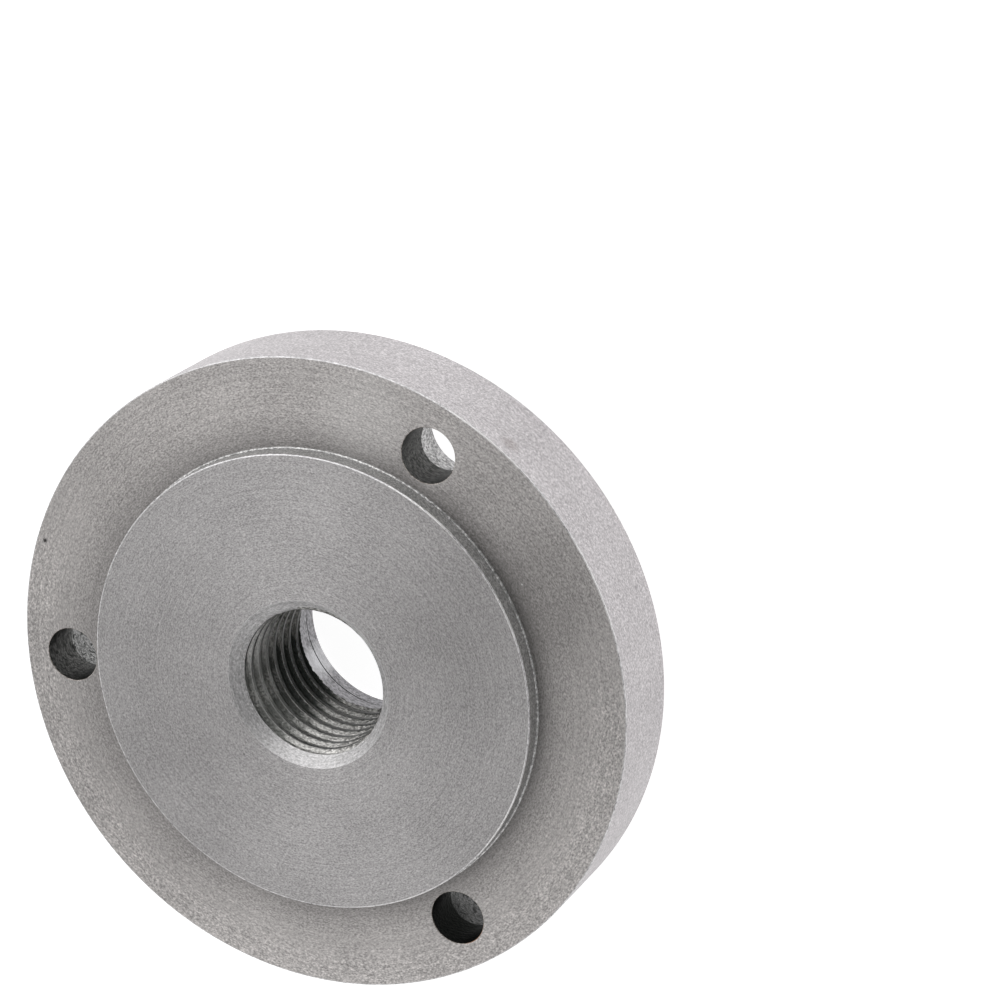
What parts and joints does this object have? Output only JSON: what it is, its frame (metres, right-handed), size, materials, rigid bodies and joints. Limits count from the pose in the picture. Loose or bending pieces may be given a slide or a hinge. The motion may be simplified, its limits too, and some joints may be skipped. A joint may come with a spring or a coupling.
{
  "type": "threaded chuck adapter",
  "caption": "Round turned iron adapter that carries a plain back lathe chuck on a screwed spindle nose: flange with counterbored screw holes, raised register, short hub and threaded bore.",
  "frame": {"origin": "centre of the hub's end face, which meets the spindle's shoulder and which the part stands on", "axes": "+Z along the bore from the hub up to the register, towards the chuck; +X through the first screw hole"},
  "size_m": [0.1, 0.1, 0.0288],
  "materials": {
    "iron": "machined and bare, matt, with fine turning marks and speckled grain"
  },
  "bodies": {
    "root": {"adapter_body": "iron"}
  },
  "joints": []
}
